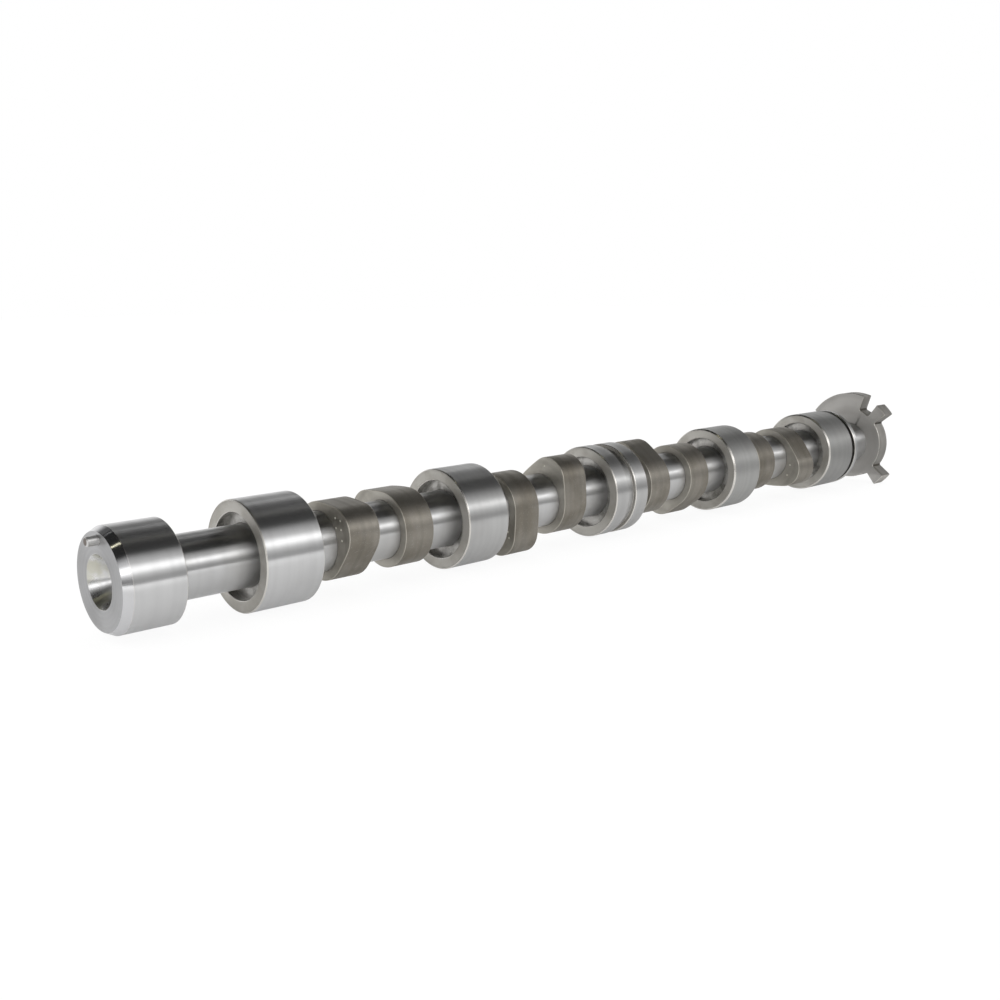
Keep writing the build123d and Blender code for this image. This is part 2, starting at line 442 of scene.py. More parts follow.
@dataclass(frozen=True)
class SteelFinish:
    """A bare steel surface, as its tool and its use have left it."""

    name: str
    colour: tuple[float, float, float]
    tint: tuple[float, float, float]
    roughness: float
    roughness_spread: float = 0.08
    anisotropy: float = 0.0
    lines: LinesAcross = LinesAcross.ALONG_SHAFT
    line_pitch: float = 0.5 * MM
    line_depth: float = 0.004 * MM
    line_shade: float = 0.10
    grain_depth: float = 0.0
    patch: float = 20 * MM
    patch_amount: float = 0.5
    scratch_amount: float = 0.3

    def material(self) -> bpy.types.Material:
        """Gives the material of this finish, and builds it the first time."""
        return bpy.data.materials.get(self.name) or self.build()

    def build(self) -> bpy.types.Material:
        """Builds the material.

        Returns:
            The new material.
        """
        material, tree = new_material(self.name)
        shader = tree.add("BsdfPrincipled")
        tree.feed(tree.add("OutputMaterial").inputs["Surface"], shader.outputs[0])
        place = Effect.PLACE.node(tree)
        lines = Effect.TOOL_LINES.node(tree, Across=place.outputs[self.lines.value],
                                       Turn=place.outputs["Turn"], Pitch=self.line_pitch)
        cloud = Effect.CLOUDING.node(tree, Point=place.outputs["Point"], Patch=self.patch,
                                     Amount=self.patch_amount)
        scratch = Effect.SCRATCHES.node(tree, Point=place.outputs["Point"],
                                        Amount=self.scratch_amount)
        wiring = Wiring(tree, shader, lines, cloud, scratch)
        self.colour_in(wiring)
        self.roughen(wiring)
        self.relief(wiring)
        shader.inputs["Metallic"].default_value = 1.0
        if self.anisotropy:
            shader.inputs["Anisotropic"].default_value = self.anisotropy
            shader.inputs["Anisotropic Rotation"].default_value = QUARTER_TURN
            hoops = tree.add("VectorMath", operation="CROSS_PRODUCT")
            tree.feed(hoops.inputs[0], SHAFT_AXIS)
            tree.feed(hoops.inputs[1], tree.add("TexCoord").outputs["Object"])
            tree.feed(shader.inputs["Tangent"], hoops.outputs[0])
        return material

    def colour_in(self, wiring: Wiring) -> None:
        """Mixes the base colour from the steel, its tint and the shade of its lines.

        Args:
            wiring: Nodes of the material.
        """
        tree, scratched = wiring.tree, wiring.scratch.outputs["Mask"]
        base = tree.blend(wiring.cloud.outputs["Mask"], opaque(self.colour), opaque(self.tint))
        shade = tree.math("MULTIPLY", wiring.lines.outputs["Streak"], self.line_shade)
        streaked = tree.blend(shade, base, STREAK_COLOUR)
        bright = tree.math("MULTIPLY", scratched, SCRATCH_SHARE)
        tree.feed(wiring.shader.inputs["Base Color"],
                  tree.blend(bright, streaked, SCRATCH_COLOUR))

    def roughen(self, wiring: Wiring) -> None:
        """Varies the roughness with the tool lines, the patches and the scratches.

        Args:
            wiring: Nodes of the material.
        """
        tree = wiring.tree
        spread = tree.math("MULTIPLY", wiring.lines.outputs["Streak"], self.roughness_spread)
        patchy = tree.math("MULTIPLY", wiring.cloud.outputs["Mask"], self.roughness_spread)
        total = tree.math("ADD", tree.math("ADD", spread, patchy), self.roughness)
        scratched = tree.math("MULTIPLY", wiring.scratch.outputs["Mask"], SCRATCH_ROUGHNESS)
        tree.feed(wiring.shader.inputs["Roughness"],
                  tree.math("ADD", total, scratched, clamp=True))

    def relief(self, wiring: Wiring) -> None:
        """Raises the tool lines, the grain and the scratches as a bump.

        Args:
            wiring: Nodes of the material.
        """
        tree = wiring.tree
        height = tree.math("MULTIPLY", wiring.lines.outputs["Height"], self.line_depth)
        if self.grain_depth:
            grain = tree.math("MULTIPLY", wiring.cloud.outputs["Grain"], self.grain_depth)
            height = tree.math("ADD", height, grain)
        cut = tree.math("MULTIPLY", wiring.scratch.outputs["Mask"], -SCRATCH_DEPTH)
        bump = tree.add("Bump")
        for name in ("Strength", "Distance"):
            bump.inputs[name].default_value = 1.0
        tree.feed(bump.inputs["Height"], tree.math("ADD", height, cut))
        tree.feed(wiring.shader.inputs["Normal"], bump.outputs[0])


GROUND_SHAFT = SteelFinish("ground_shaft", (0.62, 0.62, 0.62), (0.55, 0.545, 0.53), 0.30,
                           roughness_spread=0.02, anisotropy=1.0, line_depth=0.0002 * MM,
                           line_shade=0.04, scratch_amount=0.10)
GROUND_JOURNAL = SteelFinish("ground_journal", (0.64, 0.64, 0.64), (0.58, 0.58, 0.58), 0.29,
                             roughness_spread=0.02, anisotropy=1.0,
                             line_depth=0.0002 * MM, line_shade=0.04, scratch_amount=0.08)
# Darker and rougher than the front journals' steel, with more scratches; on the third and fourth
# rings.
DARKER_JOURNAL = SteelFinish("darker_journal", (0.52, 0.52, 0.515), (0.46, 0.455, 0.45), 0.33,
                           roughness_spread=0.03, anisotropy=0.9, line_depth=0.0003 * MM,
                           line_shade=0.05, scratch_amount=0.15)
SATIN_JOURNAL = SteelFinish("satin_journal", (0.42, 0.42, 0.41), (0.36, 0.355, 0.35), 0.44,
                            roughness_spread=0.04, anisotropy=0.5, line_depth=0.0005 * MM,
                            line_shade=0.06, scratch_amount=0.2)
FINE_CHAMFER = SteelFinish("fine_chamfer", (0.64, 0.64, 0.65), (0.58, 0.58, 0.58), 0.17,
                           roughness_spread=0.02, anisotropy=0.8, line_depth=0.0002 * MM,
                           line_shade=0.04, scratch_amount=0.05)
TURNED_FRONT = SteelFinish("turned_front", (0.44, 0.44, 0.445), (0.40, 0.40, 0.40), 0.36,
                           roughness_spread=0.04, anisotropy=0.8,
                           lines=LinesAcross.OUT_FROM_SHAFT, line_pitch=0.3 * MM,
                           line_depth=0.0010 * MM, line_shade=0.10)
CENTRE_CONE = SteelFinish("centre_cone", (0.72, 0.72, 0.72), (0.56, 0.54, 0.38), 0.25,
                          anisotropy=0.5, patch=7 * MM, patch_amount=0.5)
RING_FACE = SteelFinish("ring_face", (0.55, 0.535, 0.50), (0.42, 0.40, 0.36), 0.50,
                        anisotropy=0.3, lines=LinesAcross.OUT_FROM_SHAFT,
                        line_pitch=0.6 * MM, line_depth=0.002 * MM, grain_depth=0.003 * MM,
                        patch=9 * MM, scratch_amount=0.6)
# Recess floors and grooves: real tool lines and scratches, with a near-black patch tint that is
# painted shade.
RECESS_STEEL_AND_SHADE = SteelFinish("recess_steel_and_shade", (0.44, 0.43, 0.41), (0.16, 0.155, 0.14), 0.28,
                           lines=LinesAcross.OUT_FROM_SHAFT, line_pitch=0.5 * MM,
                           line_shade=0.3, grain_depth=0.004 * MM, patch=5 * MM,
                           patch_amount=0.7, scratch_amount=0.9)
EDGE_STEEL = SteelFinish("edge_steel", (0.72, 0.70, 0.66), (0.62, 0.60, 0.56), 0.24)
LOBE_TRACK = SteelFinish("lobe_track", (0.29, 0.27, 0.235), (0.20, 0.18, 0.145), 0.42,
                         anisotropy=0.5, line_depth=0.0006 * MM, patch_amount=0.7)
LOBE_SIDE = SteelFinish("lobe_side", (0.48, 0.46, 0.415), (0.36, 0.34, 0.30), 0.48,
                        lines=LinesAcross.OUT_FROM_SHAFT, grain_depth=0.004 * MM,
                        patch=10 * MM)
LOBE_EDGE = SteelFinish("lobe_edge", (0.50, 0.475, 0.42), (0.42, 0.39, 0.34), 0.36)
PUNCHED_STEEL = SteelFinish("punched_steel", (0.95, 0.93, 0.84), (0.90, 0.88, 0.78), 0.45)
WHEEL_FACE = SteelFinish("wheel_face", (0.60, 0.587, 0.565), (0.53, 0.515, 0.49), 0.60,
                         lines=LinesAcross.OUT_FROM_SHAFT, line_pitch=0.8 * MM,
                         grain_depth=0.006 * MM, line_shade=0.05, scratch_amount=0.1)
WHEEL_RIM = SteelFinish("wheel_rim", (0.47, 0.455, 0.43), (0.37, 0.35, 0.32), 0.55,
                        grain_depth=0.006 * MM, patch=8 * MM, scratch_amount=0.1)
# Near-black steel on the fillets of the tooth roots: painted shade in the creases.
ROOT_PAINTED_SHADE = SteelFinish("wheel_root_painted_shade", (0.13, 0.12, 0.10), (0.08, 0.075, 0.065), 0.50)
DOWEL_STEEL = SteelFinish("dowel_steel", (0.72, 0.71, 0.70), (0.55, 0.51, 0.46), 0.14)
# Dark brown on the dowel's end faces: painted shade.
DOWEL_END_SHADE = SteelFinish("dowel_end_painted_shade", (0.24, 0.215, 0.195), (0.16, 0.12, 0.10), 0.40)


# ------------------------------------------------------------------ shaping
@dataclass(frozen=True)
class Station:
    """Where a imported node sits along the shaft, and how far it reaches up from the axis."""

    front: float
    rear: float
    reach: float

    @classmethod
    def of(cls, node: str) -> "Station":
        """Reads a node's station from the box of its imported mesh."""
        low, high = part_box(node)
        return cls(low.x, high.x, max(abs(low.z), abs(high.z)))

    @property
    def width(self) -> float:
        """Length of the node along the shaft."""
        return self.rear - self.front


def lathe(outline: Outline, steps: int) -> bmesh.types.BMesh:
    """Spins an outline once round the shaft axis.

    Args:
        outline: Corners in order. It closes on itself, or starts and ends on the axis.
        steps: Number of steps in the full turn.

    Returns:
        The turned mesh, closed and with its normals outwards.
    """
    bm = bmesh.new()
    corners = [bm.verts.new((x, 0.0, radius)) for x, radius in outline]
    pairs = list(zip(corners, corners[1:]))
    if outline[0][1] > 0:
        pairs.append((corners[-1], corners[0]))
    sides = [bm.edges.new(pair) for pair in pairs]
    bmesh.ops.spin(bm, geom=corners + sides, cent=(0, 0, 0), axis=SHAFT_AXIS, dvec=(0, 0, 0),
                   angle=FULL_TURN, steps=steps, use_merge=True, use_duplicate=False)
    return settle(bm)


def settle(bm: bmesh.types.BMesh) -> bmesh.types.BMesh:
    """Merges doubled corners, closes the mesh's poles and turns its normals outwards.

    Args:
        bm: Mesh to change.

    Returns:
        The same mesh.
    """
    bmesh.ops.remove_doubles(bm, verts=bm.verts, dist=TOUCHING)
    bmesh.ops.dissolve_degenerate(bm, edges=bm.edges, dist=NO_LENGTH)
    bmesh.ops.recalc_face_normals(bm, faces=bm.faces)
    return bm


def soften(bm: bmesh.types.BMesh, radius: float, segments: int = 2,
           sharper_than: float = 20.0,
           wanted: Callable[[bmesh.types.BMEdge], bool] = lambda edge: True) -> None:
    """Rounds the sharp edges of a mesh.

    Args:
        bm: Mesh to change.
        radius: Size of the rounding.
        segments: Number of facets across it.
        sharper_than: Least angle between the faces of an edge that is rounded, in degrees.
        wanted: Says of a sharp edge whether it is rounded.
    """
    sharp = [e for e in bm.edges if e.is_manifold
             and e.calc_face_angle() > math.radians(sharper_than) and wanted(e)]
    bmesh.ops.bevel(bm, geom=sharp, offset=radius, offset_type="OFFSET", segments=segments,
                    profile=0.5, affect="EDGES", material=-1, clamp_overlap=True)


def clock_point(x: float, reach: float, clock: float) -> Vector:
    """Point at a clock angle about the shaft, in degrees clockwise from the top."""
    angle = math.radians(clock)
    return Vector((x, -reach * math.sin(angle), reach * math.cos(angle)))


def centre_reach(face: bmesh.types.BMFace) -> float:
    """Distance of a face's middle from the shaft axis."""
    return face.calc_center_median().yz.length


def new_mesh(name: str, bm: bmesh.types.BMesh) -> bpy.types.Mesh:
    """Turns a bmesh into a mesh.

    Args:
        name: Name of the mesh.
        bm: What it is made from, and which is used up.

    Returns:
        The mesh.
    """
    mesh = bpy.data.meshes.new(name)
    bm.to_mesh(mesh)
    bm.free()
    return mesh


def new_object(name: str, data: bpy.types.ID) -> bpy.types.Object:
    """Puts an object into the scene.

    Args:
        name: Name of the object.
        data: Its mesh or camera.

    Returns:
        The object.
    """
    made = bpy.data.objects.new(name, data)
    bpy.context.scene.collection.objects.link(made)
    return made


class Piece:
    """A finished mesh of the camshaft."""

    def __init__(self, name: str, bm: bmesh.types.BMesh,
                 choose: Callable[[bmesh.types.BMFace], SteelFinish]) -> None:
        """Makes the object.

        Args:
            name: Name of the piece.
            bm: Its mesh, which is used up.
            choose: Gives the finish of a face.
        """
        finishes: list[SteelFinish] = []
        for face in bm.faces:
            finish = choose(face)
            if finish not in finishes:
                finishes.append(finish)
            face.smooth = True
            face.material_index = finishes.index(finish)
        mesh = new_mesh(name, bm)
        for finish in finishes:
            mesh.materials.append(finish.material())
        self.object = new_object(name, mesh)
        weighted = self.object.modifiers.new("flat_faces_stay_flat", "WEIGHTED_NORMAL")
        weighted.weight = FLAT_FACE_WEIGHT

    def stand_for(self, node: str) -> None:
        """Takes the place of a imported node.

        Args:
            node: The node, which isn't shown any more.
        """
        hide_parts(node)
        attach(self.object, BODY)
        log.info("%s: %d faces", self.object.name, len(self.object.data.polygons))


# ------------------------------------------------------------------ sub-assemblies
@dataclass
class Shaft:
    """The ground bar that carries everything."""

    steps: int = 192
    end_chamfer: float = 0.8 * MM
    edge_radius: float = 0.15 * MM
    centre_hole_radius: float = 2.5 * MM
    centre_hole_depth: float = 4.33 * MM
    station: Station = field(default_factory=lambda: Station.of("main_shaft"))

    def outline(self) -> Outline:
        """Gives the outline of the bar, with a grinding centre in its rear end.

        Returns:
            Its corners.
        """
        bar, radius = self.station, self.station.reach
        return [
            (bar.front, 0.0),
            (bar.front, radius - self.end_chamfer),
            (bar.front + self.end_chamfer, radius),
            (bar.rear - self.end_chamfer, radius),
            (bar.rear, radius - self.end_chamfer),
            (bar.rear, self.centre_hole_radius),
            (bar.rear - self.centre_hole_depth, 0.0),
        ]

    def build(self) -> None:
        """Makes the shaft."""
        bm = lathe(self.outline(), self.steps)
        soften(bm, self.edge_radius)
        piece = Piece("ground_bar", bm, lambda face: GROUND_SHAFT)
        piece.stand_for("main_shaft")


@dataclass
class JournalRing:
    """A journal ring with a counterbored front face."""

    node: str
    bore_radius: float
    front_chamfer: float = 0.5 * MM
    rear_chamfer: float = 0.3 * MM
    recess_radius: float = 18.9 * MM
    recess_depth: float = 4.0 * MM
    lip: float = 0.4 * MM
    bore_chamfer: float = 0.3 * MM
    edge_radius: float = 0.12 * MM
    steps: int = 224
    track: SteelFinish = GROUND_JOURNAL

    @cached_property
    def station(self) -> Station:
        """Where the ring sits."""
        return Station.of(self.node)

    def front_outline(self) -> Outline:
        """Gives the front of the outline, from the bore over the recess to the outer edge.

        Returns:
            Its corners.
        """
        front, radius = self.station.front, self.station.reach
        floor = front + self.recess_depth
        return [
            (floor + self.bore_chamfer, self.bore_radius),
            (floor, self.bore_radius + self.bore_chamfer),
            (floor, self.recess_radius),
            (front + self.lip, self.recess_radius),
            (front, self.recess_radius + self.lip),
            (front, radius - self.front_chamfer),
            (front + self.front_chamfer, radius),
        ]

    def middle_outline(self) -> Outline:
        """Gives the corners along the running surface, none on a plain ring."""
        return []

    @property
    def end_chamfer(self) -> float:
        """Size of the chamfer round the rear end."""
        return self.rear_chamfer

    def rear_outline(self) -> Outline:
        """Gives the rear of the outline, from the outer edge back to the bore.

        Returns:
            Its corners.
        """
        rear, radius = self.station.rear, self.station.reach
        return [
            (rear - self.end_chamfer, radius),
            (rear, radius - self.end_chamfer),
            (rear, self.bore_radius + self.bore_chamfer),
            (rear - self.bore_chamfer, self.bore_radius),
        ]

    def finish_of(self, face: bmesh.types.BMFace) -> SteelFinish:
        """Tells the track, the end faces, the edges and the recess apart.

        Args:
            face: Face of the mesh.

        Returns:
            Its finish.
        """
        lean = abs(face.normal.x)
        depth = face.calc_center_median().x - self.station.front
        if (depth < self.recess_depth + self.edge_radius
                and centre_reach(face) < self.recess_radius + self.edge_radius):
            return RECESS_STEEL_AND_SHADE
        if lean > ACROSS:
            return RING_FACE
        return self.track if lean < ALONG else EDGE_STEEL

    def build(self) -> None:
        """Makes the ring."""
        outline = self.front_outline() + self.middle_outline() + self.rear_outline()
        bm = lathe(outline, self.steps)
        soften(bm, self.edge_radius)
        piece = Piece(f"{self.node}_ground", bm, self.finish_of)
        piece.stand_for(self.node)


@dataclass
class GroovedRing(JournalRing):
    """The middle journal ring, with an oil groove round it."""

    groove_width: float = 5.5 * MM
    groove_depth: float = 2.0 * MM
    groove_chamfer: float = 0.4 * MM

    def middle_outline(self) -> Outline:
        """Gives the outline of the oil groove.

        Returns:
            Its corners.
        """
        radius, half = self.station.reach, self.groove_width / 2
        middle = (self.station.front + self.station.rear) / 2
        floor, shoulder = radius - self.groove_depth, radius - self.groove_chamfer
        return [
            (middle - half - self.groove_chamfer, radius),
            (middle - half, shoulder),
            (middle - half, floor),
            (middle + half, floor),
            (middle + half, shoulder),
            (middle + half + self.groove_chamfer, radius),
        ]


@dataclass
class RetainingRing(JournalRing):
    """The last journal ring, with a groove and a rim that place the shaft endwise."""

    groove_width: float = 3.3 * MM
    groove_floor_radius: float = 21.0 * MM
    rim_width: float = 3.3 * MM
    rim_chamfer: float = 0.4 * MM
    rim_track: SteelFinish = GROUND_JOURNAL

    @property
    def rim_front(self) -> float:
        """Station of the rim's front side, where the groove ends."""
        return self.station.rear - self.rim_width

    def middle_outline(self) -> Outline:
        """Gives the outline of the retaining groove and of the rim's front edge.

        Returns:
            Its corners.
        """
        radius, groove_front = self.station.reach, self.rim_front - self.groove_width
        return [
            (groove_front - self.rear_chamfer, radius),
            (groove_front, radius - self.rear_chamfer),
            (groove_front, self.groove_floor_radius),
            (self.rim_front, self.groove_floor_radius),
            (self.rim_front, radius - self.rim_chamfer),
            (self.rim_front + self.rim_chamfer, radius),
        ]

    @property
    def end_chamfer(self) -> float:
        """Size of the chamfer round the rim's rear side."""
        return self.rim_chamfer

    def finish_of(self, face: bmesh.types.BMFace) -> SteelFinish:
        """Tells the groove and the rim apart from the rest of the ring.

        Args:
            face: Face of the mesh.

        Returns:
            Its finish.
        """
        along = self.rim_front - face.calc_center_median().x
        if -self.edge_radius < along < self.groove_width + self.edge_radius:
            return RECESS_STEEL_AND_SHADE
        finish = super().finish_of(face)
        return self.rim_track if along < 0 and finish == self.track else finish


@dataclass(frozen=True)
class PunchMark:
    """A small bright burr that a centre punch leaves on a flat side."""

    clock: float
    reach: float
    radius: float = 0.5 * MM
    rise: float = 0.2 * MM
    MARKED: ClassVar[int] = 1           # material number of its faces until they get a finish

    def press(self, bm: bmesh.types.BMesh, x: float) -> None:
        """Adds the mark to a mesh.

        Args:
            bm: Mesh to add it to.
            x: Station of the flat side.
        """
        spot = clock_point(x, self.reach, self.clock)
        flatten = Matrix.Diagonal((self.rise / self.radius, 1.0, 1.0, 1.0))
        made = bmesh.ops.create_icosphere(bm, subdivisions=2, radius=self.radius,
                                          matrix=Matrix.Translation(spot) @ flatten)
        for face in {face for corner in made["verts"] for face in corner.link_faces}:
            face.material_index = self.MARKED


@dataclass
class CamLobe:
    """A cam lobe whose outline is made of base, flank and nose arcs."""

    node: str
    bore_radius: float
    clock: float
    base_radius: float = 18.0 * MM
    peak_radius: float = 24.3 * MM
    nose_radius: float = 12.1 * MM
    flank_radius: float = 98.0 * MM
    flank_steps: int = 12
    edge_radius: float = 0.4 * MM
    edge_angle: float = 60.0
    bore_chamfer: float = 0.3 * MM
    arc_step: float = math.radians(1.5)
    side_lean: float = 0.98
    track_lean: float = 0.1
    marks: tuple[PunchMark, ...] = ()

    @property
    def inner_radius(self) -> float:
        """Radius within which everything belongs to the bore."""
        return self.base_radius * 0.9

    def arc(self, bm: bmesh.types.BMesh, start: bmesh.types.BMVert,
            centre: tuple[float, float], angle: float,
            least_steps: int = 1) -> bmesh.types.BMVert:
        """Sweeps a corner along an arc that leaves a chain of edges.

        Args:
            bm: Mesh that holds the corner.
            start: The corner.
            centre: (y, z) of the arc's centre.
            angle: Angle of the arc, clockwise as seen from the front.
            least_steps: Least number of edges in the arc.

        Returns:
            The corner at the arc's end.
        """
        steps = max(least_steps, math.ceil(angle / self.arc_step))
        swept = bmesh.ops.spin(bm, geom=[start], cent=(start.co.x, *centre), axis=SHAFT_AXIS,
                               dvec=(0, 0, 0), angle=angle, steps=steps, use_duplicate=False)
        return next(g for g in swept["geom_last"] if isinstance(g, bmesh.types.BMVert))

    def outline(self, bm: bmesh.types.BMesh, x: float) -> None:
        """Draws the cam outline in a plane across the shaft, nose up.

        Args:
            bm: Mesh to draw it in.
            x: Station of the plane.
        """
        nose_z = self.peak_radius - self.nose_radius
        to_base = self.flank_radius - self.base_radius
        to_nose = self.flank_radius - self.nose_radius
        flank_z = (to_base ** 2 - to_nose ** 2 + nose_z ** 2) / (2 * nose_z)
        flank_y = math.sqrt(to_base ** 2 - flank_z ** 2)
        nose_half = math.atan2(flank_y, nose_z - flank_z)
        flank_end = math.atan2(flank_y, -flank_z)
        tip = bm.verts.new((x, 0.0, self.peak_radius))
        corner = self.arc(bm, tip, (0.0, nose_z), nose_half)
        corner = self.arc(bm, corner, (flank_y, flank_z), flank_end - nose_half,
                          self.flank_steps)
        corner = self.arc(bm, corner, (0.0, 0.0), FULL_TURN - 2 * flank_end)
        corner = self.arc(bm, corner, (-flank_y, flank_z), flank_end - nose_half,
                          self.flank_steps)
        self.arc(bm, corner, (0.0, nose_z), nose_half)

    def blank(self, station: Station) -> bmesh.types.BMesh:
        """Makes the lobe, nose up, with a bore for the shaft.

        Args:
            station: Where the lobe sits.

        Returns:
            The closed mesh.
        """
        bm = bmesh.new()
        self.outline(bm, station.front)
        bmesh.ops.remove_doubles(bm, verts=bm.verts, dist=TOUCHING)
        across = Matrix.Translation((station.front, 0, 0)) @ Matrix.Rotation(math.pi / 2, 4, "Y")
        segments = round(FULL_TURN / self.arc_step)
        bmesh.ops.create_circle(bm, cap_ends=False, segments=segments,
                                radius=self.bore_radius, matrix=across)
        bmesh.ops.bridge_loops(bm, edges=bm.edges)
        swept = bmesh.ops.extrude_face_region(bm, geom=bm.faces[:])
        rear = [g for g in swept["geom"] if isinstance(g, bmesh.types.BMVert)]
        bmesh.ops.translate(bm, verts=rear, vec=(station.width, 0, 0))
        return settle(bm)

    def is_outer(self, edge: bmesh.types.BMEdge) -> bool:
        """Tells the edges round the cam track from those round the bore."""
        return max(corner.co.yz.length for corner in edge.verts) > self.inner_radius

    def finish_of(self, face: bmesh.types.BMFace) -> SteelFinish:
        """Tells the cam track, the flat sides, the edges and the punch marks apart.

        Args:
            face: Face of the mesh.

        Returns:
            Its finish.
        """
        if face.material_index == PunchMark.MARKED:
            return PUNCHED_STEEL
        lean = abs(face.normal.x)
        if lean > self.side_lean or centre_reach(face) < self.inner_radius:
            return LOBE_SIDE
        return LOBE_TRACK if lean < self.track_lean else LOBE_EDGE

    def build(self) -> None:
        """Makes the lobe and turns its nose to its clock angle."""
        station = Station.of(self.node)
        bm = self.blank(station)
        soften(bm, self.edge_radius, segments=3, sharper_than=self.edge_angle,
               wanted=self.is_outer)
        soften(bm, self.bore_chamfer, segments=1, sharper_than=self.edge_angle)
        turn = Matrix.Rotation(math.radians(self.clock), 3, "X")
        bmesh.ops.rotate(bm, verts=bm.verts, cent=(0, 0, 0), matrix=turn)
        for mark in self.marks:
            mark.press(bm, station.front)
        piece = Piece(f"{self.node}_ground", bm, self.finish_of)
        piece.stand_for(self.node)


@dataclass
class CamSet:
    """The eight lobes, stepped round by the firing order."""

    bore_radius: float
    front_clock: float = 66.5
    rear_clock: float = -64.5
    phases: tuple[float, ...] = (0.0, 90.0, -90.0, 180.0)

    def build(self) -> None:
        """Makes the front and the rear lobe of each cylinder."""
        for number, phase in enumerate(self.phases, start=1):
            for side, clock in (("front", self.front_clock), ("rear", self.rear_clock)):
                node = f"cylinder_{number}_{side}_lobe"
                marks = PUNCH_MARKS.get(node, ())
                CamLobe(node, self.bore_radius, clock + phase, marks=marks).build()


@dataclass
class DriveEnd:
    """The front journal, with a lathe centre in its face."""

    node: str = "drive_end_journal"
    chamfer_length: float = 3.7 * MM
    face_radius: float = 20.1 * MM
    centre_radius: float = 11.2 * MM
    centre_angle: float = math.radians(60)
    centre_depth: float = 12.0 * MM
    rear_chamfer: float = 0.25 * MM
    edge_radius: float = 0.12 * MM
    track_lean: float = 0.1
    steps: int = 240

    def outline(self, station: Station, bore_radius: float) -> Outline:
        """Gives the outline from the centre's floor round to the shaft's socket.

        Args:
            station: Where the journal sits.
            bore_radius: Radius of the socket.

        Returns:
            Its corners.
        """
        front, rear, radius = station.front, station.rear, station.reach
        floor = front + self.centre_depth
        floor_radius = self.centre_radius - self.centre_depth * math.tan(self.centre_angle / 2)
        socket = Station.of("main_shaft").front
        return [
            (floor, 0.0),
            (floor, floor_radius),
            (front, self.centre_radius),
            (front, self.face_radius),
            (front + self.chamfer_length, radius),
            (rear - self.rear_chamfer, radius),
            (rear, radius - self.rear_chamfer),
            (rear, bore_radius),
            (socket, bore_radius),
            (socket, 0.0),
        ]

    def finish_of(self, face: bmesh.types.BMFace) -> SteelFinish:
        """Tells the flat faces, the centre's cone, the track and the two chamfers apart.

        Args:
            face: Face of the mesh.

        Returns:
            Its finish.
        """
        lean = abs(face.normal.x)
        if lean > ACROSS:
            return TURNED_FRONT
        if centre_reach(face) < self.centre_radius:
            return CENTRE_CONE
        if lean < self.track_lean:
            return GROUND_JOURNAL
        return FINE_CHAMFER if face.calc_center_median().x < self.chamfer_length else EDGE_STEEL

    def build(self, bore_radius: float) -> None:
        """Makes the journal.

        Args:
            bore_radius: Radius of the socket for the shaft.
        """
        bm = lathe(self.outline(Station.of(self.node), bore_radius), self.steps)
        soften(bm, self.edge_radius)
        piece = Piece("drive_end_ground", bm, self.finish_of)
        piece.stand_for(self.node)


@dataclass
class Dowel:
    """The stepped dowel, its nose standing out of the front face."""

    node: str = "front_dowel_pin"
    nose_radius: float = 2.0 * MM
    shank_chamfer: float = 0.4 * MM
    nose_rounding: float = 0.55 * MM
    edge_radius: float = 0.08 * MM
    end_lean: float = 0.8
    steps: int = 64

    def finish_of(self, face: bmesh.types.BMFace) -> SteelFinish:
        """Tells the sheared ends, whose dark colour is painted shade, from the ground side."""
        return DOWEL_END_SHADE if abs(face.normal.x) > self.end_lean else DOWEL_STEEL

    def build(self) -> None:
        """Makes the dowel on the shaft axis and moves it to its seat."""
        low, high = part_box(self.node)
        seat = Vector((0.0, (low.y + high.y) / 2, (low.z + high.z) / 2))
        shank_radius = (high.y - low.y) / 2
        bm = lathe([
            (low.x, 0.0),
            (low.x, self.nose_radius - self.nose_rounding),
            (low.x + self.nose_rounding, self.nose_radius),
            (0.0, self.nose_radius),
            (0.0, shank_radius),
            (high.x - self.shank_chamfer, shank_radius),
            (high.x, shank_radius - self.shank_chamfer),
            (high.x, 0.0),
        ], self.steps)
        soften(bm, self.edge_radius, segments=3)
        bmesh.ops.translate(bm, verts=bm.verts, vec=seat)
        piece = Piece("dowel_ground", bm, self.finish_of)
        piece.stand_for(self.node)


@dataclass
class SensorWheel:
    """The toothed wheel at the rear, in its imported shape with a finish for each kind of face."""

    node: str = "sensor_wheel"
    flat_within: float = math.radians(0.5)
    root_reach: float = 25.0 * MM
    outward_share: float = 0.95

    def finish_of(self, face: bmesh.types.BMFace) -> SteelFinish:
        """Tells the flat sides, the bevelled edges, the tooth roots and the rim apart, with
        painted shade in the roots.

        Args:
            face: Face of the mesh.

        Returns:
            Its finish.
        """
        lean = abs(face.normal.x)
        if lean > ACROSS:
            return WHEEL_FACE
        if lean > ALONG:
            return EDGE_STEEL
        out = face.calc_center_median().yz
        hollow = face.normal.yz.dot(out.normalized()) < self.outward_share
        return ROOT_PAINTED_SHADE if hollow and out.length < self.root_reach else WHEEL_RIM

    def build(self) -> None:
        """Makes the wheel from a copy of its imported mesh."""
        bm = bmesh.new()
        bm.from_mesh(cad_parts[self.node].data)
        settle(bm)
        bmesh.ops.dissolve_limit(bm, angle_limit=self.flat_within, verts=bm.verts,
                                 edges=bm.edges)
        piece = Piece("toothed_wheel", bm, self.finish_of)
        piece.stand_for(self.node)


PUNCH_MARKS = {
    "cylinder_1_front_lobe": (
        PunchMark(46.4, 17.7 * MM), PunchMark(55.4, 20.1 * MM), PunchMark(59.4, 15.4 * MM),
        PunchMark(66.2, 18.6 * MM), PunchMark(81.3, 17.6 * MM)),
    "cylinder_2_front_lobe": (PunchMark(134.8, 18.4 * MM), PunchMark(128.9, 15.9 * MM)),
    "cylinder_2_rear_lobe": (PunchMark(10.9, 18.6 * MM),),
    "cylinder_4_rear_lobe": (PunchMark(101.4, 16.8 * MM), PunchMark(124.4, 17.6 * MM)),
}


